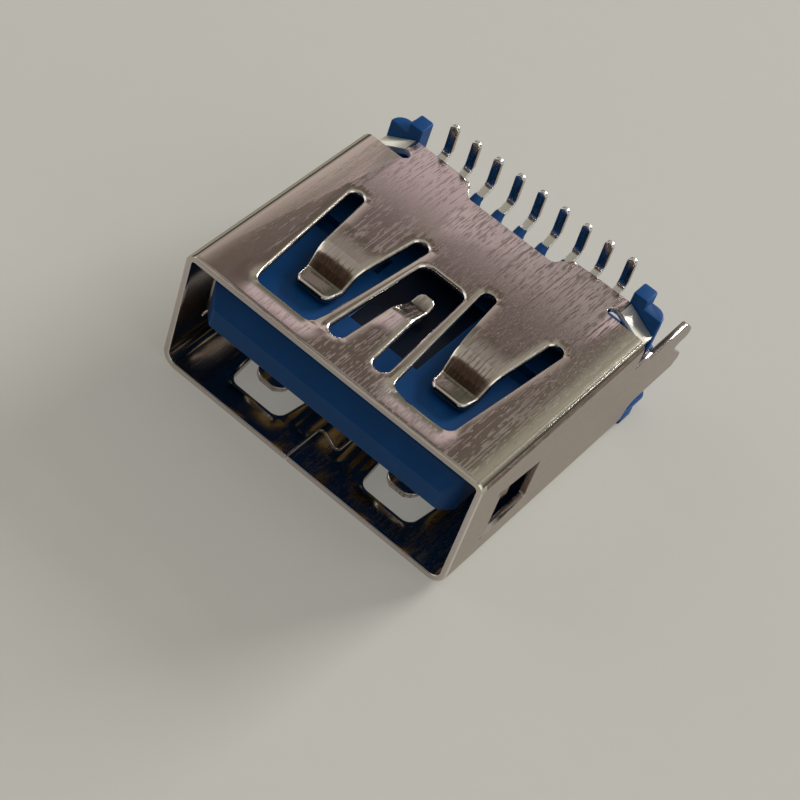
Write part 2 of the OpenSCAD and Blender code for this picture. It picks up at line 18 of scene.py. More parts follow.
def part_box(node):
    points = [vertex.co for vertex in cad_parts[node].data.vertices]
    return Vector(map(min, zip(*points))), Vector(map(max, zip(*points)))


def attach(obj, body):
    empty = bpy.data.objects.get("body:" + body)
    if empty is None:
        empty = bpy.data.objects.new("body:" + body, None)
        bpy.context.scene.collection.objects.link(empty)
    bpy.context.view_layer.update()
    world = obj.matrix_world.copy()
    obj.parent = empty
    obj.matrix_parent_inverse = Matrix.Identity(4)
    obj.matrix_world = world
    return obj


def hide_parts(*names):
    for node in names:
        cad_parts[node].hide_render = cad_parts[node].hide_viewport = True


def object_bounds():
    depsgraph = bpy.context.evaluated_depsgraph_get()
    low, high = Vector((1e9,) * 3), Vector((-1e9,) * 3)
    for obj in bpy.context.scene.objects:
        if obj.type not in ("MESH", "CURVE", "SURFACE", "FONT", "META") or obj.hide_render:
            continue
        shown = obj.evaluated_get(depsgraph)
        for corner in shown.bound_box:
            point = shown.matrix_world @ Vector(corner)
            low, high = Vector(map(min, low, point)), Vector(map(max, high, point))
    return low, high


bl_info = {
    "name": "Board Socket Dresser",
    "version": (1, 0, 0),
    "blender": (4, 5, 0),
    "location": "View3D > Sidebar > Socket",
    "description": "Finishes a packed board socket and its studio",
    "category": "Object",
}

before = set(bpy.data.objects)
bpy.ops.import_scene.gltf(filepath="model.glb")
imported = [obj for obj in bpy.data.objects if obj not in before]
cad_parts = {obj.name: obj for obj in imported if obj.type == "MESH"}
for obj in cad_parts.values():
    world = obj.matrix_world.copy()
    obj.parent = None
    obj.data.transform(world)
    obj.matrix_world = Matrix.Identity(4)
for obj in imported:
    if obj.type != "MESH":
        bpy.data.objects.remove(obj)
CAD_BOX = [list(corner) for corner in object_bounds()]
BODY = "root"
MM = 0.001

# Place of the mouth along Y in metres, and the shell's own sizes in millimetres
MOUTH = CAD_BOX[0][1]
SHELL_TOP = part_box("shell")[1].z / MM
HALF_WIDTH = (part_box("shell")[1].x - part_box("shell")[0].x) / 2 / MM
SHELL_LENGTH = 10.7

FLAT_CONTACTS = [f"flat_contact_{n}" for n in range(1, 6)]
SPRING_CONTACTS = [f"spring_contact_{n}" for n in range(1, 5)]

# Camera place and turn that the photograph's corners give, in millimetres and unit vectors of the frame
CAMERA_PLACE = (22.0716, -52.4347, 61.6620)
CAMERA_BACK = (0.26224, -0.61380, 0.74464)
CAMERA_ROLL = math.radians(20.923)
SENSOR = 36.0

# Edges of the punched openings in plan: how far each end lies from the middle of its opening and behind the
# mouth, in millimetres
SPRING_MIDDLE = 3.03
SPRING_EDGES = (
    ((1.82, 6.8), (1.27, 1.1)),
    ((1.2, 6.7), (0.75, 2.5)),
    ((1.4, 6.95), (1.6, 6.95)),
)
TAB_EDGES = (
    ((1.31, 1.35), (0.95, 6.0)),
    ((0.65, 1.35), (0.45, 3.9)),
    ((0.9, 1.17), (1.05, 1.17)),
)
FRONT_EDGE = ((0.0, 0.93), (0.95, 0.93))

# Fall of the sheet as reach and depth in millimetres: towards the openings, their front edges, the mouth,
# the rear edge and the folds
OPENING_FALL = (0.4, 0.025)
FRONT_EDGE_FALL = (1.2, 0.09)
MOUTH_FALL = (0.2, 0.02)
REAR_FALL = (4.2, 0.12)
FOLD_FALL = (0.95, 0.055)

# Low and high corners in millimetres of the rooms of the upper springs, of the tails' upright ends, where
# shade is painted, of the springs' slopes, where a dark reflection is painted, of the crimp strips, where a
# highlight is painted, of the side folds, where a line of shade is painted, and of the deep recess in the
# tongue, painted in shade
SPRING_ROOM = ((-1.0, 1.0, 4.0), (5.0, 6.0, 5.6))
PAD_ROOM = ((-1.0, 11.3, 5.3), (6.0, 12.1, 6.36))
SLOPE_ROOM = ((1.5, 3.4, 4.9), (4.6, 4.2, 5.58))
CRIMP_ROOM = ((4.5, 9.96, 4.4), (6.3, 10.9, 5.57))
FOLD_ROOM = ((6.0, 0.3, 4.8), (6.7, 10.4, 5.7))
RECESS_ROOM = ((-1.0, 3.03, 4.4), (1.52, 7.08, 4.57))

# Way behind the front of the moulding where the contacts' gold has turned to tin, in millimetres
TAIL_START = 10.2

# Width and place of each lamp in metres
KEY_LAMP = (0.42, (0.25, 0.9, 0.36))
RIGHT_LAMP = (1.0, (0.95, 0.05, 0.5))
LEFT_LAMP = (1.0, (-0.95, -0.1, 0.45))

# Light of the room by height above the floor, and its patches by direction, with the inner and outer half
# angle in degrees and the tint of each
ROOM_BANDS = (
    (0.0, (0.06, 0.052, 0.045)),
    (0.2, (0.07, 0.062, 0.055)),
    (0.36, (0.17, 0.16, 0.14)),
    (0.55, (0.23, 0.22, 0.19)),
    (0.75, (0.42, 0.395, 0.345)),
    (1.0, (0.36, 0.34, 0.29)),
)
ROOM_PATCHES = (
    ((-0.6, 0.6, 0.53), 6.0, 13.0, (0.46, 0.39, 0.38)),
    ((-0.4, 0.69, 0.6), 7.5, 12.0, (0.74, 0.62, 0.62)),
    ((-0.27, 0.62, 0.74), 4.5, 8.5, (0.1, 0.075, 0.06)),
    ((-0.38, 0.575, 0.725), 3.0, 6.5, (0.1, 0.075, 0.06)),
    ((-0.26, -0.77, 0.58), 16.0, 30.0, (0.055, 0.038, 0.028)),
)


def colour(name, description, value):
    """Colour property with its default."""
    return FloatVectorProperty(
        name=name, description=description, default=value, size=3, min=0.0, max=1.0, subtype="COLOR"
    )


def length(name, description, value):
    """Length property in metres with its default."""
    return FloatProperty(name=name, description=description, default=value, min=0.0, unit="LENGTH")


def power(name, description, value):
    """Power property in watts with its default."""
    return FloatProperty(name=name, description=description, default=value, min=0.0)


class SocketSizes(bpy.types.PropertyGroup):
    """Small roundings that the solids leave to the finish."""

    sheet_roll: length("Rolled edge", "Rounding of the punched edges of the top plate", 0.11 * MM)
    sheet_edge: length("Sheet edge", "Rounding of the other edges of the shell", 0.05 * MM)
    moulded_edge: length("Moulded edge", "Rounding of the edges of the moulding", 0.06 * MM)
    contact_edge: length("Contact edge", "Rounding of the edges of the contacts", 0.035 * MM)


class SocketFinishes(bpy.types.PropertyGroup):
    """Colours of the plating, the plastic and the contacts."""

    nickel: colour("Nickel", "Plating of the shell", (0.63, 0.56, 0.55))
    # Near the openings and the folds the olive tint is a painted reflection of the rolled sheet; elsewhere
    # it is random clouds and streaks.
    nickel_olive: colour("Worked nickel", "Plating where the sheet was worked", (0.63, 0.595, 0.51))
    # Painted shade on the lips and ridges of the upper springs, where they lie sunk below the plate.
    nickel_sunk_shade: colour("Rubbed nickel", "Plating on the bent parts of the springs", (0.21, 0.2, 0.165))
    # Painted dark reflection on the slopes of the upper springs.
    nickel_slope_reflection: colour("Scored nickel", "Plating on the slopes of the springs", (0.42, 0.32, 0.25))
    # Dark tint of the grain lines, used also for the painted line of shade along the folds and the painted
    # shade on the cut edges at the rear.
    nickel_dark: colour("Dark grain", "Plating in the lines of the rolled sheet", (0.22, 0.165, 0.15))
    # Painted highlight: the crimp strips are tinted pale for the bright flash they show.
    crimp_highlight_tint: colour("Pale nickel", "Plating on the crimp strips", (0.92, 0.9, 0.81))
    burnished: colour("Burnished edge", "Plating on the rolled edges", (0.77, 0.73, 0.695))
    blue: colour("Blue", "Moulded plastic", (0.001, 0.056, 0.205))
    blue_pale: colour("Worn blue", "Plastic where it is rubbed", (0.004, 0.07, 0.24))
    gold: colour("Gold", "Contacts where they mate", (0.8, 0.57, 0.24))
    tin: colour("Tin", "Contacts at their tails", (0.78, 0.77, 0.74))
    # Painted shade on the upright ends of the tails, where they face the shaded rear of the housing.
    tin_shade: colour("Dull tin", "Upright ends of the tails", (0.45, 0.36, 0.29))


class SocketStage(bpy.types.PropertyGroup):
    """Floor, lamps and camera."""

    floor: colour("Floor", "Colour of the floor", (0.5, 0.49, 0.45))
    floor_size: length("Floor size", "Width of the floor", 4.0)
    key_power: power("Key", "Power of the lamp behind in watts", 12.0)
    side_power: power("Sides", "Power of each side lamp in watts", 3.0)
    lens: FloatProperty(
        name="Lens", description="Focal length of the camera", default=103.87, min=1.0, unit="CAMERA"
    )


class Bench:
    """Node tree being built: adds nodes with their settings and sockets, and links them."""

    def __init__(self, tree):
        self.tree = tree

    def add(self, kind, settings=None, **sockets):
        """Adds a node with its settings and its sockets by name."""
        node = self.tree.nodes.new(kind)
        for name, value in (settings or {}).items():
            setattr(node, name, value)
        for name, value in sockets.items():
            self.put(node, name, value)
        return node

    def put(self, node, name, value):
        """Links a socket to an output, or gives it a constant."""
        socket = node.inputs[int(name)] if name.isdigit() else node.inputs[name]
        if isinstance(value, bpy.types.NodeSocket):
            self.tree.links.new(value, socket)
        else:
            socket.default_value = value

    def math(self, operation, first, second=0.0):
        """One step of arithmetic."""
        node = self.add("ShaderNodeMath", {"operation": operation})
        self.put(node, "0", first)
        self.put(node, "1", second)
        return node.outputs[0]

    def product(self, first, *others):
        """Product of two or more values."""
        for other in others:
            first = self.math("MULTIPLY", first, other)
        return first

    def ramp(self, value, low, high, start=0.0, end=1.0):
        """Smooth change from start to end while the value goes from low to high."""
        node = self.add("ShaderNodeMapRange", {"interpolation_type": "SMOOTHSTEP"})
        numbers = {"Value": value, "From Min": low, "From Max": high, "To Min": start, "To Max": end}
        for name, number in numbers.items():
            self.put(node, name, number)
        return node.outputs[0]

    def fade(self, value, low, high):
        """Smooth change from all to nothing while the value goes from low to high."""
        return self.ramp(value, low, high, 1.0, 0.0)

    def vector(self, operation, first, second=(0.0, 0.0, 0.0)):
        """One step of vector arithmetic."""
        node = self.add("ShaderNodeVectorMath", {"operation": operation})
        self.put(node, "0", first)
        self.put(node, "1", second)
        return node.outputs["Value" if operation in ("DOT_PRODUCT", "LENGTH") else 0]

    def noise(self, place, cells, detail=1.0, roughness=0.5):
        """Noise with so many cells to the metre along each axis."""
        vector = self.vector("MULTIPLY", place, cells)
        node = self.add("ShaderNodeTexNoise", Vector=vector, Scale=1.0, Detail=detail, Roughness=roughness)
        return node.outputs["Fac"]

    def mix(self, share, first, second):
        """Colour that goes from the first to the second with the share."""
        node = self.add("ShaderNodeMix", {"data_type": "RGBA"})
        self.put(node, "0", share)
        self.put(node, "6", first)
        self.put(node, "7", second)
        return node.outputs[2]

    def axes(self, vector):
        """X, Y and Z of a vector, by name."""
        return self.add("ShaderNodeSeparateXYZ", Vector=vector).outputs

    def joined(self, **axes):
        """Vector made of the axes given by name."""
        return self.add("ShaderNodeCombineXYZ", **axes).outputs[0]

    def held(self, value):
        """Value held between nothing and one."""
        return self.add("ShaderNodeClamp", Value=value).outputs[0]

    def bump(self, shader, height, depth, strength=1.0):
        """Bump on a shader, with the depth in metres that a height of one stands for."""
        node = self.add("ShaderNodeBump", Strength=strength, Distance=depth, Height=height)
        self.put(shader, "Normal", node.outputs[0])


def opaque(value):
    """Colour with a full alpha."""
    return (*value, 1.0)


def new_group(name, inputs, outputs):
    """Empty shader group with its sockets; returns its bench, its inputs and its output node."""
    tree = bpy.data.node_groups.new(name, "ShaderNodeTree")
    for socket, kind in inputs.items():
        tree.interface.new_socket(socket, in_out="INPUT", socket_type=kind)
    for socket in outputs:
        tree.interface.new_socket(socket, in_out="OUTPUT", socket_type="NodeSocketFloat")
    bench = Bench(tree)
    return bench, bench.add("NodeGroupInput").outputs, bench.add("NodeGroupOutput")


GROUPS = {}


def place_group(bench, make, **sockets):
    """Places a shared group with its inputs, building it at its first use; returns its outputs."""
    if make not in GROUPS:
        GROUPS[make] = make()
    return bench.add("ShaderNodeGroup", {"node_tree": GROUPS[make]}, **sockets).outputs


def from_mouth(bench, place):
    """How far a place lies across from the middle, behind the mouth and up, in millimetres."""
    shifted = bench.vector("SUBTRACT", place, (0.0, MOUTH, 0.0))
    axes = bench.axes(bench.vector("MULTIPLY", shifted, (1.0 / MM, 1.0 / MM, 1.0 / MM)))
    return axes["X"], axes["Y"], axes["Z"]


def line_distance_group():
    """Distance from a place to a straight line between two ends: the place's share of the way along the
    line is held between none and all of it, and what is left over is measured."""
    kind = "NodeSocketVector"
    sockets = {"Place": kind, "Start": kind, "Run": kind}
    bench, given, out = new_group("Distance to a line", sockets, ["Distance"])
    offset = bench.vector("SUBTRACT", given["Place"], given["Start"])
    ahead = bench.vector("DOT_PRODUCT", offset, given["Run"])
    share = bench.math("DIVIDE", ahead, bench.vector("DOT_PRODUCT", given["Run"], given["Run"]))
    nearest = bench.vector("MULTIPLY", given["Run"], bench.held(share))
    bench.put(out, "Distance", bench.vector("LENGTH", bench.vector("SUBTRACT", offset, nearest)))
    return bench.tree


def measured_line(bench, place, ends):
    """Distance from a place in plan to the line between two ends."""
    start, end = ends
    run = (end[0] - start[0], end[1] - start[1], 0.0)
    return place_group(bench, line_distance_group, Place=place, Start=(*start, 0.0), Run=run)["Distance"]


def punched_edge_group():
    """Nearness to the punched openings of the two wide plates: the least distance to any of their edges,
    the two sides folded onto one. Rise is the height of the sheet in millimetres: it falls as a square
    towards the openings, the mouth and the rear edge, and towards the folds at the sides. Fold is the
    nearness to those folds."""
    plate_offset = (2.3, 2.55)
    near_reach = (0.1, 0.42)
    fold_reach = (4.7, 5.9)
    upper_reach = 1.0
    spring_side = (1.25, 1.35)
    spring_lip = (1.2, 1.6)
    spring_dip = (3.5, 5.5, 0.11, 0.0)
    tab_side = (0.7, 0.8)
    tab_tip = (5.6, 5.9)
    tab_dip = (2.5, 4.5, 0.0, 0.12)
    bench, given, out = new_group("Punched edges", {"Vector": "NodeSocketVector"}, ["Near", "Rise", "Fold"])
    side, behind, height = from_mouth(bench, given["Vector"])
    across = bench.math("ABSOLUTE", side)
    from_spring = bench.math("ABSOLUTE", bench.math("SUBTRACT", across, SPRING_MIDDLE))
    by_spring = bench.joined(X=from_spring, Y=behind)
    by_tab = bench.joined(X=across, Y=behind)
    from_front = measured_line(bench, by_spring, FRONT_EDGE)
    distance = from_front
    for place, edges in ((by_spring, SPRING_EDGES), (by_tab, TAB_EDGES)):
        for edge in edges:
            distance = bench.math("MINIMUM", distance, measured_line(bench, place, edge))
    middle = SHELL_TOP / 2
    plate = bench.ramp(bench.math("ABSOLUTE", bench.math("SUBTRACT", height, middle)), *plate_offset)
    fold = bench.ramp(across, *fold_reach)
    bench.put(out, "Near", bench.product(bench.fade(distance, *near_reach), plate))
    bench.put(out, "Fold", bench.product(fold, plate))
    on_spring = bench.product(bench.fade(from_spring, *spring_side), bench.ramp(behind, *spring_lip))
    on_tab = bench.product(bench.fade(across, *tab_side), bench.fade(behind, *tab_tip))
    dip = bench.math(
        "ADD",
        bench.product(bench.ramp(behind, *spring_dip), on_spring),
        bench.product(bench.ramp(behind, *tab_dip), on_tab),
    )
    rise = bench.product(dip, bench.ramp(height, middle, middle + upper_reach, 0.0, -1.0))
    from_rear = bench.math("SUBTRACT", SHELL_LENGTH, behind)
    falls = (
        (distance, OPENING_FALL),
        (from_front, FRONT_EDGE_FALL),
        (behind, MOUTH_FALL),
        (bench.math("ADD", from_rear, bench.product(fold, REAR_FALL[0])), REAR_FALL),
        (bench.math("SUBTRACT", HALF_WIDTH, across), FOLD_FALL),
    )
    for gap, (reach, depth) in falls:
        near = bench.held(bench.math("SUBTRACT", 1.0, bench.math("DIVIDE", gap, reach)))
        rise = bench.math("SUBTRACT", rise, bench.product(near, near, depth))
    bench.put(out, "Rise", rise)
    return bench.tree


def drawn_grain_group():
    """Fine lines along Y that the rolling of the sheet leaves: the mean of a noise drawn out far along the
    lines and of a shorter one, with patches where the lines are stronger. On the side walls height takes the
    part of width."""
    wall_depth = 0.4
    long_cells = (18500.0, 260.0, 260.0)
    short_cells = (13500.0, 2300.0, 2300.0)
    patch_cells = (420.0, 300.0, 420.0)
    patch_edges = (0.35, 0.62)
    weakest = 0.8
    bench, given, out = new_group("Drawn grain", {"Vector": "NodeSocketVector"}, ["Line", "Patch"])
    axes = bench.axes(given["Vector"])
    aside = bench.math("ABSOLUTE", axes["X"])
    on_wall = bench.math("GREATER_THAN", aside, (HALF_WIDTH - wall_depth) * MM)
    off_wall = bench.math("SUBTRACT", 1.0, on_wall)
    across = bench.math("ADD", bench.product(axes["X"], off_wall), bench.product(axes["Z"], on_wall))
    laid = bench.joined(X=across, Y=axes["Y"], Z=bench.product(axes["Z"], off_wall))
    drawn = bench.noise(laid, long_cells)
    broken = bench.noise(laid, short_cells)
    bench.put(out, "Line", bench.product(bench.math("ADD", drawn, broken), 0.5))
    spread = bench.noise(given["Vector"], patch_cells, detail=2.0)
    bench.put(out, "Patch", bench.ramp(spread, *patch_edges, weakest, 1.0))
    return bench.tree


def handling_group():
    """Hairline scratches and specks from handling: thin level lines of two turned and drawn-out noises,
    kept only where a broad noise allows them."""
    turns = (0.5, -0.9)
    tilt = (0.2, 0.1)
    line_cells = (2600.0, 240.0, 2600.0)
    line_width = 0.012
    broad_cells = (520.0, 520.0, 520.0)
    broad_edges = (0.5, 0.68)
    speck_cells = (9000.0, 9000.0, 9000.0)
    speck_edges = (0.72, 0.8)
    bench, given, out = new_group("Handling marks", {"Vector": "NodeSocketVector"}, ["Mark", "Speck"])
    marks = []
    for turn in turns:
        turned = bench.add("ShaderNodeMapping", Vector=given["Vector"], Rotation=(*tilt, turn))
        drawn = bench.noise(turned.outputs[0], line_cells, roughness=0.4)
        off = bench.math("ABSOLUTE", bench.math("SUBTRACT", drawn, 0.5))
        marks.append(bench.fade(off, 0.0, line_width))
    allowed = bench.ramp(bench.noise(given["Vector"], broad_cells), *broad_edges)
    bench.put(out, "Mark", bench.product(bench.math("MAXIMUM", *marks), allowed))
    bench.put(out, "Speck", bench.ramp(bench.noise(given["Vector"], speck_cells), *speck_edges))
    return bench.tree


def new_material(name):
    """Empty material; returns it with its bench, its Principled shader and its Object coordinates."""
    material = bpy.data.materials.new(name)
    material.use_nodes = True
    tree = material.node_tree
    tree.nodes.clear()
    bench = Bench(tree)
    shader = bench.add("ShaderNodeBsdfPrincipled")
    bench.add("ShaderNodeOutputMaterial", Surface=shader.outputs[0])
    place = bench.add("ShaderNodeTexCoord").outputs["Object"]
    return material, bench, shader, place


def inside_room(bench, place, room):
    """Mask of the places between the two corners of a room, the same on both sides of the middle."""
    side, behind, height = from_mouth(bench, place)
    mask = 1.0
    for value, least, most in zip((bench.math("ABSOLUTE", side), behind, height), *room):
        above = bench.math("GREATER_THAN", value, least)
        mask = bench.product(mask, above, bench.math("LESS_THAN", value, most))
    return mask


def sunk_shade(bench, place):
    """Share of the painted shade on the lips and ridges of the upper springs, where they lie below the
    plate, by height.
    """
    lowest = SHELL_TOP - 0.45
    highest = SHELL_TOP - 0.33
    _, _, height = from_mouth(bench, place)
    return bench.product(bench.fade(height, lowest, highest), inside_room(bench, place, SPRING_ROOM))


def slope_reflection(bench, place, line):
    """Share of the painted dark reflection on the slopes of the upper springs, broken into streaks by the
    grain lines.
    Its upper end is ragged: the line noise shifts it to and fro."""
    raggedness = 0.9
    upper_end = (3.36, 3.48)
    streak_edges = (0.44, 0.54)
    weakest = 0.15
    _, behind, _ = from_mouth(bench, place)
    shifted = bench.math("SUBTRACT", behind, bench.product(line, raggedness))
    streaks = bench.ramp(line, *streak_edges, weakest, 1.0)
    return bench.product(bench.fade(shifted, *upper_end), streaks, inside_room(bench, place, SLOPE_ROOM))


def grain_strength(bench, place):
    """Strength of the grain: it grows towards the right and the rear, is faint on the folds and the side
    walls, and ends at the cut edge of the mouth."""
    right_growth = (-4.0, 3.0, 0.3, 1.0)
    rear_growth = (1.5, 5.0, 0.55, 1.0)
    wall_loss = (HALF_WIDTH - 0.9, HALF_WIDTH - 0.4, 1.0, 0.15)
    mouth_end = (0.05, 0.25)
    side, behind, _ = from_mouth(bench, place)
    return bench.product(
        bench.ramp(side, *right_growth),
        bench.ramp(behind, *rear_growth),
        bench.ramp(bench.math("ABSOLUTE", side), *wall_loss),
        bench.ramp(behind, *mouth_end),
    )


def fold_shade_line(bench, place, line):
    """Share of the painted dark line of shade along the folds beside the top plate, laid over their glint,
    broken by the grain."""
    drop = 0.22
    half_width = (0.05, 0.13)
    breaks = (0.4, 0.5, 0.75, 1.0)
    _, _, height = from_mouth(bench, place)
    away = bench.math("ABSOLUTE", bench.math("SUBTRACT", height, SHELL_TOP - drop))
    shade_band = bench.fade(away, *half_width)
    return bench.product(shade_band, bench.ramp(line, *breaks), inside_room(bench, place, FOLD_ROOM))


def nickel_plate(finishes):
    """Plated sheet: an olive tint near the openings and the folds, a painted reflection of the rolled sheet,
    with random clouds of it; painted shade on the lips and ridges of the upper springs and a painted dark
    reflection on their slopes; a painted line of shade along the folds; dark and pale lines along Y in
    patches and hairlines; and a pale matt tint on the crimp strips, a painted highlight. Its bump is the
    crown of the plate, a slow waviness and the lines."""
    wave_cells = (360.0, 210.0, 360.0)
    cloud_edges = (0.5, 0.7)
    cloud_share = 0.45
    calm_by_edges = (0.0, 1.0, 1.0, 0.25)
    dark_edges = (0.51, 0.58)
    dark_share = 0.85
    pale_edges = (0.47, 0.41)
    pale_share = 0.6
    speck_share = 0.5
    scratch_by_slope = (0.0, 0.1, 0.4, 0.0)
    rim_tint = (0.66, 0.64, 0.6)
    roughness_by_dark = (0.05, 0.3, 0.16, 0.31)
    crimp_roughness = 0.5
    wave_depth = 0.008
    line_depth = 0.0012
    material, bench, shader, place = new_material("nickel_plate")
    grain = place_group(bench, drawn_grain_group, Vector=place)
    marks = place_group(bench, handling_group, Vector=place)
    edges = place_group(bench, punched_edge_group, Vector=place)
    line = grain["Line"]
    wave = bench.noise(place, wave_cells)
    cloud = bench.product(bench.ramp(wave, *cloud_edges), cloud_share)
    # Painted reflection: olive near the openings and the folds, with random clouds of the same tint
    olive_reflection_and_clouds = bench.math("MAXIMUM", bench.math("MAXIMUM", edges["Near"], edges["Fold"]), cloud)
    # Painted shade on the sunk lips and ridges of the upper springs
    low = sunk_shade(bench, place)
    calmed = bench.ramp(bench.math("MAXIMUM", edges["Near"], low), *calm_by_edges)
    strength = bench.product(grain["Patch"], grain_strength(bench, place), calmed)
    # Painted dark reflection on the slopes of the upper springs, in streaks
    slope = slope_reflection(bench, place, line)
    tint = opaque(finishes.nickel)
    # Painted reflection and shade: olive near the openings and folds (with random clouds), shade on the sunk
    # parts of the springs, a dark reflection on their slopes and a dark line of shade along the folds
    shade_and_reflection_tints = (
        (olive_reflection_and_clouds, finishes.nickel_olive),
        (low, finishes.nickel_sunk_shade),
        (slope, finishes.nickel_slope_reflection),
        # Painted shade: a dark line along the folds
        (fold_shade_line(bench, place, line), finishes.nickel_dark),
    )
    for share, layer_tint in shade_and_reflection_tints:
        tint = bench.mix(share, tint, opaque(layer_tint))
    dark = bench.product(bench.ramp(line, *dark_edges), strength)
    pitted = bench.math("MAXIMUM", dark, bench.product(marks["Speck"], speck_share))
    tint = bench.mix(bench.product(pitted, dark_share), tint, opaque(finishes.nickel_dark))
    pale = bench.product(bench.ramp(line, *pale_edges), strength, pale_share)
    scratch = bench.product(marks["Mark"], bench.ramp(slope, *scratch_by_slope))
    tint = bench.mix(bench.math("MAXIMUM", pale, scratch), tint, opaque(finishes.burnished))
    # Painted highlight on the crimp strips: a pale tint, rough and matt
    crimp_highlight = inside_room(bench, place, CRIMP_ROOM)
    bench.put(shader, "Base Color", bench.mix(crimp_highlight, tint, opaque(finishes.crimp_highlight_tint)))
    shader.inputs["Metallic"].default_value = 1.0
    shader.inputs["Specular Tint"].default_value = opaque(rim_tint)
    matt = bench.product(crimp_highlight, crimp_roughness)
    bench.put(shader, "Roughness", bench.math("MAXIMUM", bench.ramp(dark, *roughness_by_dark), matt))
    height = bench.math("ADD", edges["Rise"], bench.product(wave, wave_depth))
    height = bench.math("ADD", height, bench.product(line, strength, line_depth))
    bench.bump(shader, height, MM)
    return material


def burnished_edge(finishes):
    """Rolled edge of the sheet: pale plating, faintly streaked by the punch, with a few specks, and painted
    shade on the cut edges at the rear."""
    streak_cells = (2600.0, 2600.0, 9000.0)
    worn_edges = (0.5, 0.72)
    worn_share = 0.6
    cut_start = (8.4, 9.2)
    cut_by_height = (SHELL_TOP - 0.06, SHELL_TOP - 0.02, 0.85, 0.0)
    roughness_by_streak = (0.3, 0.7, 0.15, 0.22)
    streak_depth = 0.002 * MM
    material, bench, shader, place = new_material("burnished_edge")
    marks = place_group(bench, handling_group, Vector=place)
    streak = bench.noise(place, streak_cells, detail=2.0, roughness=0.55)
    worn = bench.math("MAXIMUM", bench.ramp(streak, *worn_edges), marks["Speck"])
    share = bench.product(worn, worn_share)
    rolled = bench.mix(share, opaque(finishes.burnished), opaque(finishes.nickel_olive))
    _, behind, height = from_mouth(bench, place)
    # Painted shade on the cut edges at the rear, in the dark grain tint
    cut = bench.product(bench.ramp(behind, *cut_start), bench.ramp(height, *cut_by_height))
    bench.put(shader, "Base Color", bench.mix(cut, rolled, opaque(finishes.nickel_dark)))
    shader.inputs["Metallic"].default_value = 1.0
    bench.put(shader, "Roughness", bench.ramp(streak, *roughness_by_streak))
    bench.bump(shader, streak, streak_depth)
    return material


def blue_plastic(name, plain, rubbed_tint, rough):
    """Moulded plastic: slight flow clouds, a fine spark-eroded skin, paler rubs, and the deep shade of the
    recess in the tongue."""
    cloud_cells = (700.0, 420.0, 700.0)
    cloud_edges = (0.5, 0.75)
    rub_share = 0.6
    skin_cells = (24000.0, 24000.0, 24000.0)
    skin_edges = (0.3, 0.7)
    skin_depth = 0.002 * MM
    skin_strength = 0.6
    shade_share = 0.9
    shade = (0.0, 0.0, 0.0)
    spread = 0.08
    material, bench, shader, place = new_material(name)
    marks = place_group(bench, handling_group, Vector=place)
    cloud = bench.noise(place, cloud_cells, detail=3.0, roughness=0.55)
    skin = bench.noise(place, skin_cells, detail=2.0, roughness=0.6)
    rubbed = bench.product(bench.math("MAXIMUM", marks["Mark"], bench.ramp(cloud, *cloud_edges)), rub_share)
    moulded = bench.mix(rubbed, opaque(plain), opaque(rubbed_tint))
    shaded = bench.product(inside_room(bench, place, RECESS_ROOM), shade_share)
    bench.put(shader, "Base Color", bench.mix(shaded, moulded, opaque(shade)))
    shader.inputs["Specular IOR Level"].default_value = 0.2
    bench.put(shader, "Roughness", bench.ramp(skin, *skin_edges, rough - spread, rough + spread))
    bench.bump(shader, skin, skin_depth, skin_strength)
    return material


def plated_contact(finishes, tail_place):
    """Contact strip: gold where it mates and tin behind the housing, with painted shade on the upright ends
    of the tails, and drawn lines along the strip."""
    turn_length = 0.4 * MM
    roughness_by_line = (0.3, 0.7, 0.16, 0.3)
    line_depth = 0.002 * MM
    material, bench, shader, place = new_material("contact_plating")
    line = place_group(bench, drawn_grain_group, Vector=place)["Line"]
    tail = bench.ramp(bench.axes(place)["Y"], tail_place - turn_length, tail_place)
    plated = bench.mix(tail, opaque(finishes.gold), opaque(finishes.tin))
    # Painted shade on the upright ends of the tails
    pad_shade = inside_room(bench, place, PAD_ROOM)
    bench.put(shader, "Base Color", bench.mix(pad_shade, plated, opaque(finishes.tin_shade)))
    shader.inputs["Metallic"].default_value = 1.0
    bench.put(shader, "Roughness", bench.ramp(line, *roughness_by_line))
    bench.bump(shader, line, line_depth)
    return material


def faults(rounded, tree):
    """Places on a solid where its rounded mesh leaves it: beside points more than a hair outside it, and
    beside faces turned against its nearest face."""
    hair = 0.01 * MM
    smallest = 1e-13
    against = -0.1
    found = []
    for vertex in rounded.vertices:
        place, normal, _, _ = tree.find_nearest(vertex.co)
        if (vertex.co - place).dot(normal) > hair:
            found.append(place)
    for face in rounded.polygons:
        place, normal, _, _ = tree.find_nearest(face.center)
        if face.area > smallest and face.normal.dot(normal) < against:
            found.append(place)
    return np.array(found)


def edge_distances(places, starts, ends):
    """Distance of each place to each edge, as a table: the offset from the edge's start less its held share
    of the way along the edge."""
    least_square = 1e-18
    runs = ends - starts
    squares = np.maximum(np.einsum("ec,ec->e", runs, runs), least_square)
    offsets = places[:, None, :] - starts[None, :, :]
    shares = np.einsum("pec,ec->pe", offsets, runs) / squares
    left_over = offsets - np.clip(shares, 0.0, 1.0)[..., None] * runs[None, :, :]
    return np.linalg.norm(left_over, axis=2)


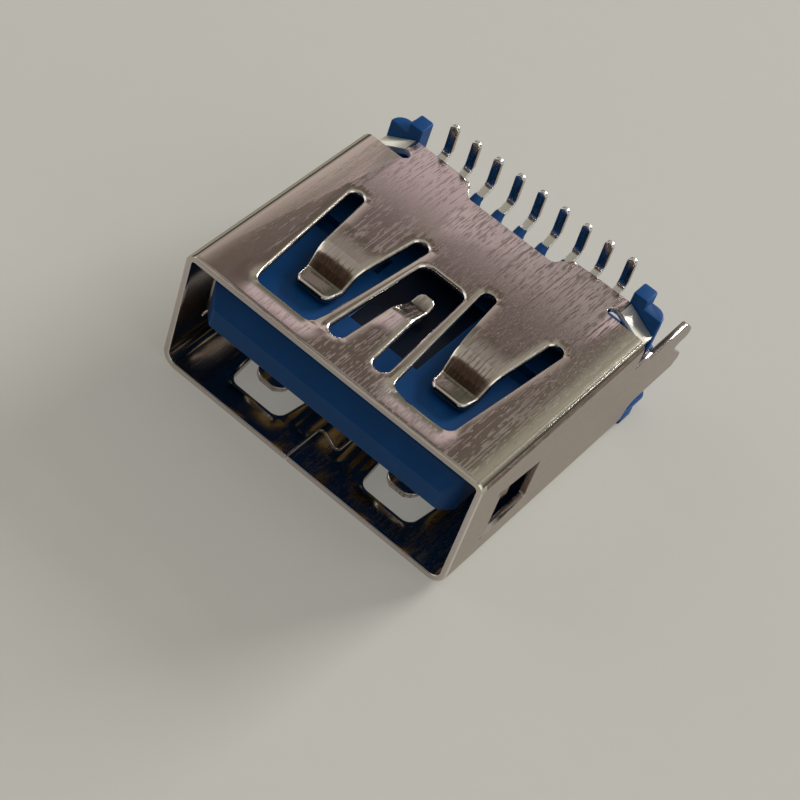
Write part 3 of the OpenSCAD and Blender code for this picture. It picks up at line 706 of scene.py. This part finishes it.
def ease_rounding(piece, shares, width):
    """Rounds the marked edges by their shares of the full width. Where the rounded mesh has faults, the
    shares of the edges beside them are halved, and dropped in the last rounds, and the mesh is worked out
    again. Edges that end up with no share are kept crisp."""
    halving_rounds = 5
    rounds = 9
    least = 0.08
    mesh = piece.data
    sharp = shares >= 0.0
    points = np.empty(3 * len(mesh.vertices), np.float32)
    mesh.vertices.foreach_get("co", points)
    links = np.empty(2 * len(mesh.edges), np.int32)
    mesh.edges.foreach_get("vertices", links)
    points = points.reshape(-1, 3).astype(float)
    starts, ends = (points[column] for column in links.reshape(-1, 2).T)
    mesh.calc_loop_triangles()
    tree = BVHTree.FromPolygons(
        [tuple(point) for point in points], [tuple(face.vertices) for face in mesh.loop_triangles]
    )
    weights = np.clip(shares, 0.0, 1.0)
    mesh.attributes.new("bevel_weight_edge", "FLOAT", "EDGE")
    mesh.attributes.new("sharp_edge", "BOOLEAN", "EDGE")
    for turn in range(rounds):
        weights[weights < least] = 0.0
        mesh.attributes["bevel_weight_edge"].data.foreach_set("value", weights.astype(np.float32))
        mesh.attributes["sharp_edge"].data.foreach_set("value", sharp & (weights == 0.0))
        mesh.update()
        shown = piece.evaluated_get(bpy.context.evaluated_depsgraph_get())
        found = faults(shown.to_mesh(), tree)
        shown.to_mesh_clear()
        if not len(found):
            break
        halving = turn < halving_rounds
        reach = width if halving else 2.0 * width
        beside = edge_distances(found, starts, ends).min(axis=0) < reach
        weights[beside] *= 0.5 if halving else 0.0


def on_top(edge):
    """Whether an edge borders the upper side of the top plate, of its springs or of its tab."""
    hair = 0.0002
    upward = 0.4
    low, high = (Vector(corner) for corner in SPRING_ROOM)
    middle = (edge.verts[0].co + edge.verts[1].co) / 2 / MM
    behind = middle.y - MOUTH / MM
    inside = abs(middle.x) < high.x and low.y < behind < high.y and middle.z > low.z
    sprung = inside and max(face.normal.z for face in edge.link_faces) > upward
    return sprung or min(vert.co.z for vert in edge.verts) > (SHELL_TOP - hair) * MM


def finished_copy(node, name, widths, materials):
    """Copies a solid, merges its doubles and joins its coplanar triangles. Its outer edges sharper than the
    sharp angle are rounded: those on the top side by the first width, the others by the second. The
    rounded strips take the last material."""
    merge_distance = 0.0002 * MM
    flat_angle = math.radians(0.5)
    sharp_angle = math.radians(35.0)
    segments = 4
    even_weight = 50
    mesh = bpy.data.meshes.new(name)
    work = bmesh.new()
    work.from_mesh(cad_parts[node].data)
    bmesh.ops.remove_doubles(work, verts=work.verts, dist=merge_distance)
    bmesh.ops.dissolve_limit(work, angle_limit=flat_angle, verts=work.verts, edges=work.edges)
    work.edges.index_update()
    shares = np.full(len(work.edges), -1.0)
    for edge in work.edges:
        if abs(edge.calc_face_angle_signed(0.0)) > sharp_angle:
            share = 1.0 if on_top(edge) else widths[1] / widths[0]
            shares[edge.index] = share if edge.is_convex else 0.0
    work.to_mesh(mesh)
    work.free()
    for material in materials:
        mesh.materials.append(material)
    count = len(mesh.polygons)
    mesh.polygons.foreach_set("material_index", np.zeros(count, np.int32))
    mesh.polygons.foreach_set("use_smooth", np.ones(count, bool))
    piece = bpy.data.objects.new(name, mesh)
    bpy.context.scene.collection.objects.link(piece)
    rounding = piece.modifiers.new("rounded_edges", "BEVEL")
    rounding.width = widths[0]
    rounding.segments = segments
    rounding.limit_method = "WEIGHT"
    rounding.use_clamp_overlap = False
    rounding.material = len(materials) - 1
    ease_rounding(piece, shares, widths[0])
    evening = piece.modifiers.new("even_normals", "WEIGHTED_NORMAL")
    evening.weight = even_weight
    evening.keep_sharp = True
    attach(piece, BODY)
    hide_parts(node)


class SOCKET_OT_shell(bpy.types.Operator):
    """Finish the folded sheet shell"""

    bl_idname = "socket.shell"
    bl_label = "Shell"

    def execute(self, context):
        finishes = context.scene.socket_finishes
        sizes = context.scene.socket_sizes
        materials = [nickel_plate(finishes), burnished_edge(finishes)]
        widths = (sizes.sheet_roll, sizes.sheet_edge)
        finished_copy("shell", "sheet_shell", widths, materials)
        return {"FINISHED"}


class SOCKET_OT_housing(bpy.types.Operator):
    """Finish the moulding with its tongue, ribs and ears"""

    bl_idname = "socket.housing"
    bl_label = "Housing"

    def execute(self, context):
        face_roughness = 0.48
        edge_roughness = 0.42
        finishes = context.scene.socket_finishes
        edge = context.scene.socket_sizes.moulded_edge
        body = blue_plastic("blue_moulding", finishes.blue, finishes.blue_pale, face_roughness)
        rubbed = blue_plastic("blue_edge", finishes.blue_pale, finishes.blue, edge_roughness)
        finished_copy("housing", "tongue_housing", (edge, edge), [body, rubbed])
        return {"FINISHED"}


class SOCKET_OT_contacts(bpy.types.Operator):
    """Finish the nine contacts"""

    bl_idname = "socket.contacts"
    bl_label = "Contacts"

    def execute(self, context):
        tail_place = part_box("housing")[0].y + TAIL_START * MM
        material = plated_contact(context.scene.socket_finishes, tail_place)
        edge = context.scene.socket_sizes.contact_edge
        for node in FLAT_CONTACTS + SPRING_CONTACTS:
            finished_copy(node, node + "_strip", (edge, edge), [material])
        return {"FINISHED"}


def flat_square(name, size):
    """Square at the height of the floor."""
    half = size / 2
    corners = [(-half, -half, 0.0), (half, -half, 0.0), (half, half, 0.0), (-half, half, 0.0)]
    mesh = bpy.data.meshes.new(name)
    mesh.from_pydata(corners, [], [(0, 1, 2, 3)])
    obj = bpy.data.objects.new(name, mesh)
    bpy.context.scene.collection.objects.link(obj)
    return obj


def soft_lamp(name, watts, size, place):
    """Square warm white lamp that faces the socket from a place in metres."""
    warm_white = (1.0, 0.99, 0.97)
    lamp = bpy.data.lights.new(name, "AREA")
    lamp.shape = "SQUARE"
    lamp.size = size
    lamp.energy = watts
    lamp.color = warm_white
    obj = bpy.data.objects.new(name, lamp)
    obj.location = place
    obj.rotation_euler = (-Vector(place)).to_track_quat("-Z", "Y").to_euler()
    bpy.context.scene.collection.objects.link(obj)


def studio_world():
    """Room light by direction: bands by height, and soft-edged patches round given directions, each mixed
    in by the angle from its middle."""
    any_height = 0.5
    world = bpy.data.worlds.new("studio")
    world.use_nodes = True
    world.node_tree.nodes.clear()
    bench = Bench(world.node_tree)
    toward = bench.add("ShaderNodeTexCoord").outputs["Generated"]
    heights = bench.add("ShaderNodeValToRGB", Fac=bench.axes(toward)["Z"])
    stops = heights.color_ramp.elements
    while len(stops) < len(ROOM_BANDS):
        stops.new(any_height)
    for stop, (height, tint) in zip(stops, ROOM_BANDS):
        stop.position = height
        stop.color = opaque(tint)
    room = heights.outputs["Color"]
    for middle, inner, outer, tint in ROOM_PATCHES:
        closeness = bench.vector("DOT_PRODUCT", toward, Vector(middle).normalized())
        share = bench.ramp(closeness, math.cos(math.radians(outer)), math.cos(math.radians(inner)))
        room = bench.mix(share, room, opaque(tint))
    light = bench.add("ShaderNodeBackground", Color=room, Strength=1.0)
    bench.add("ShaderNodeOutputWorld", Surface=light.outputs[0])
    bpy.context.scene.world = world


def floor_paper(tint):
    """Plain matt foam sheet with a faint tooth. Part of its light is the glow that spreads inside the
    foam."""
    glow = 0.36
    tooth_cells = (900.0, 900.0, 900.0)
    tooth_gain = 1.04
    matt = 0.85
    material, bench, shader, place = new_material("floor_paper")
    tooth = bench.noise(place, tooth_cells, detail=3.0, roughness=0.6)
    low = tuple((1.0 - glow) * part for part in tint)
    high = tuple(tooth_gain * part for part in low)
    bench.put(shader, "Base Color", bench.mix(tooth, opaque(low), opaque(high)))
    shader.inputs["Roughness"].default_value = matt
    shader.inputs["Emission Color"].default_value = opaque(tint)
    shader.inputs["Emission Strength"].default_value = glow
    return material


class SOCKET_OT_stage(bpy.types.Operator):
    """Set up the floor, the lamps and the camera"""

    bl_idname = "socket.stage"
    bl_label = "Stage"

    def execute(self, context):
        stage = context.scene.socket_stage
        floor = flat_square("floor", stage.floor_size)
        floor.data.materials.append(floor_paper(stage.floor))
        studio_world()
        soft_lamp("key", stage.key_power, *KEY_LAMP)
        soft_lamp("right", stage.side_power, *RIGHT_LAMP)
        soft_lamp("left", stage.side_power, *LEFT_LAMP)
        camera = bpy.data.cameras.new("camera")
        camera.sensor_width = SENSOR
        camera.lens = stage.lens
        camera.clip_start = 1.0 * MM
        camera.clip_end = 20.0
        obj = bpy.data.objects.new("camera", camera)
        back = Vector(CAMERA_BACK).normalized()
        level = Vector((0.0, 0.0, 1.0)).cross(back).normalized()
        right = level * math.cos(CAMERA_ROLL) + back.cross(level) * math.sin(CAMERA_ROLL)
        turn = Matrix((right, back.cross(right), back)).transposed()
        obj.matrix_world = Matrix.Translation(Vector(CAMERA_PLACE) * MM) @ turn.to_4x4()
        context.scene.collection.objects.link(obj)
        context.scene.camera = obj
        context.scene.view_settings.view_transform = "Standard"
        return {"FINISHED"}


class SOCKET_PT_panel(bpy.types.Panel):
    """Sizes, finishes and steps of the socket"""

    bl_idname = "SOCKET_PT_panel"
    bl_label = "Board socket"
    bl_space_type = "VIEW_3D"
    bl_region_type = "UI"
    bl_category = "Socket"

    def draw(self, context):
        for group in SETTINGS:
            settings = getattr(context.scene, group)
            for name in settings.__annotations__:
                self.layout.prop(settings, name)
        for step in STEPS:
            self.layout.operator(step.bl_idname)


STEPS = (SOCKET_OT_shell, SOCKET_OT_housing, SOCKET_OT_contacts, SOCKET_OT_stage)
SETTINGS = {"socket_sizes": SocketSizes, "socket_finishes": SocketFinishes, "socket_stage": SocketStage}


def register():
    for made in (*SETTINGS.values(), *STEPS, SOCKET_PT_panel):
        bpy.utils.register_class(made)
    for name, kind in SETTINGS.items():
        setattr(bpy.types.Scene, name, PointerProperty(type=kind))


def unregister():
    for name in SETTINGS:
        delattr(bpy.types.Scene, name)
    for made in reversed((*SETTINGS.values(), *STEPS, SOCKET_PT_panel)):
        bpy.utils.unregister_class(made)


def main():
    register()
    bpy.ops.socket.shell()
    bpy.ops.socket.housing()
    bpy.ops.socket.contacts()
    bpy.ops.socket.stage()


if __name__ == "__main__":
    main()
